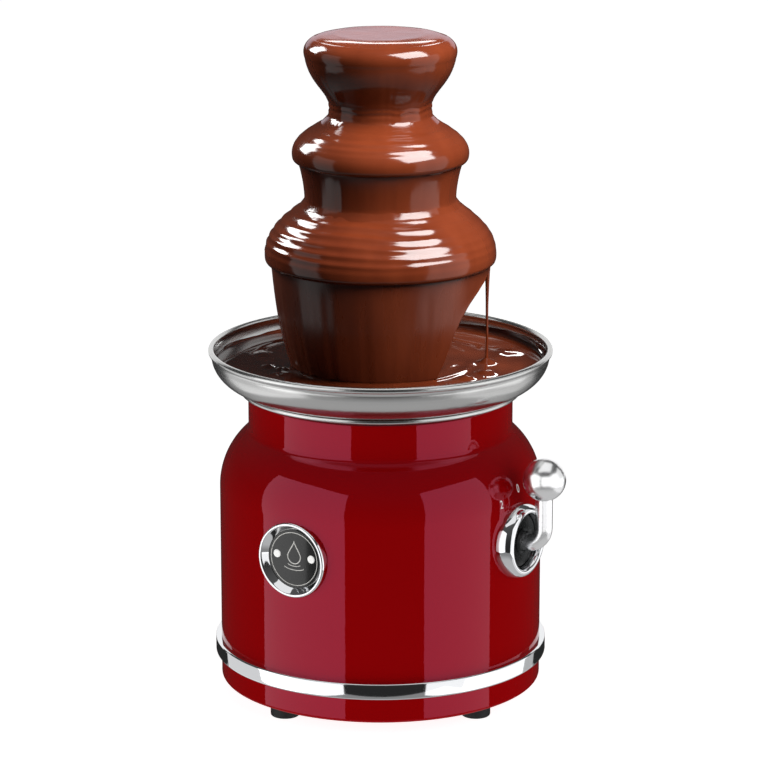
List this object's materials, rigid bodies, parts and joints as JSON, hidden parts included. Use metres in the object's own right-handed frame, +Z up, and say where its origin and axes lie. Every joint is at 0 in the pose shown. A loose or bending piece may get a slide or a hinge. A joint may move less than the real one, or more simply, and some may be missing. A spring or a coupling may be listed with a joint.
{
  "type": "chocolate fountain",
  "caption": "Table-top tiered chocolate fountain with a round red housing, heated steel bowl, auger tower, lamp badge and a lever-turned rotary switch, shown running.",
  "frame": {"origin": "on the fountain's axis, on the plane of the feet", "axes": "+Z up the tower, -Y out of the badge, +X out of the lever"},
  "size_m": [0.2224, 0.2, 0.3895],
  "materials": {
    "red_gloss": "high gloss",
    "chrome": "mirror",
    "steel_polished": "polished",
    "steel": "plain",
    "black_rubber": "matt",
    "badge_black": "gloss",
    "disc_black": "satin",
    "lamp_white": "gloss",
    "board_green": "matt",
    "dark_plastic": "matt",
    "brass": "plain",
    "white_plastic": "matt",
    "aluminium": "plain",
    "element_steel": "oxidised",
    "copper": "varnished",
    "rotor_iron": "plain",
    "tower_plastic": "satin",
    "chocolate": "wet"
  },
  "bodies": {
    "housing": {"base_pan": "red_gloss", "feet": "black_rubber", "base_screws": "steel", "housing_shell": "red_gloss", "trim_band": "chrome", "cord_gland": "black_rubber", "terminal_block": "white_plastic", "badge_bezel": "chrome", "badge_face": "badge_black", "heat_lamp": "lamp_white", "flow_lamp": "lamp_white", "lamp_board": "board_green", "badge_clip": "steel", "lever_escutcheon": "chrome", "rotary_switch": "dark_plastic", "switch_nut": "brass", "switch_bracket": "steel", "bowl": "steel_polished", "bowl_gasket": "black_rubber", "bowl_studs": "steel", "shaft_seal": "black_rubber", "tower_pins": "steel", "heater_plate": "aluminium", "heating_element": "element_steel", "thermostat": "dark_plastic", "thermal_fuse": "white_plastic", "standoffs": "brass", "motor_bracket": "steel", "bracket_screws": "steel", "gearbox_case": "dark_plastic", "gearbox_screws": "steel", "motor_can": "steel", "stator": "copper", "motor_bushes": "brass", "idler_pin": "steel", "shaft_bushes": "brass", "tower_tube": "tower_plastic", "lower_tier": "tower_plastic", "middle_tier": "tower_plastic", "crown": "tower_plastic", "chocolate_pool": "chocolate", "chocolate_lower_coat": "chocolate", "chocolate_lower_curtain": "chocolate", "chocolate_strand": "chocolate", "chocolate_middle_coat": "chocolate", "chocolate_middle_curtain": "chocolate", "chocolate_crown": "chocolate"},
    "drive": {"auger": "white_plastic", "drive_shaft": "steel", "output_gear": "white_plastic", "shaft_clip": "steel"},
    "idler": {"idler_gear": "white_plastic"},
    "rotor": {"rotor": "rotor_iron", "motor_pinion": "brass"},
    "lever": {"lever_disc": "disc_black", "lever_arm": "chrome", "lever_ball": "chrome", "lever_spindle": "steel"}
  },
  "joints": [
    {"name": "motor_spin", "type": "hinge", "parent": "housing", "child": "rotor", "pos_m": [-0.02473, -0.00663, 0.1], "axis": [0, 0, 1], "continuous": true},
    {"name": "idler_spin", "type": "hinge", "parent": "housing", "child": "idler", "pos_m": [-0.0181, 0.0181, 0.135], "axis": [0, 0, 1], "continuous": true},
    {"name": "auger_spin", "type": "hinge", "parent": "housing", "child": "drive", "pos_m": [0, 0, 0.16], "axis": [0, 0, 1], "continuous": true},
    {"name": "lever_turn", "type": "hinge", "parent": "housing", "child": "lever", "pos_m": [0.1, 0, 0.104], "axis": [1, 0, 0], "range_deg": [-35, 35]}
  ],
  "couplings": [
    {"joint": "idler_spin", "follows": "motor_spin", "ratio": -0.33333},
    {"joint": "auger_spin", "follows": "motor_spin", "ratio": 0.11111}
  ]
}
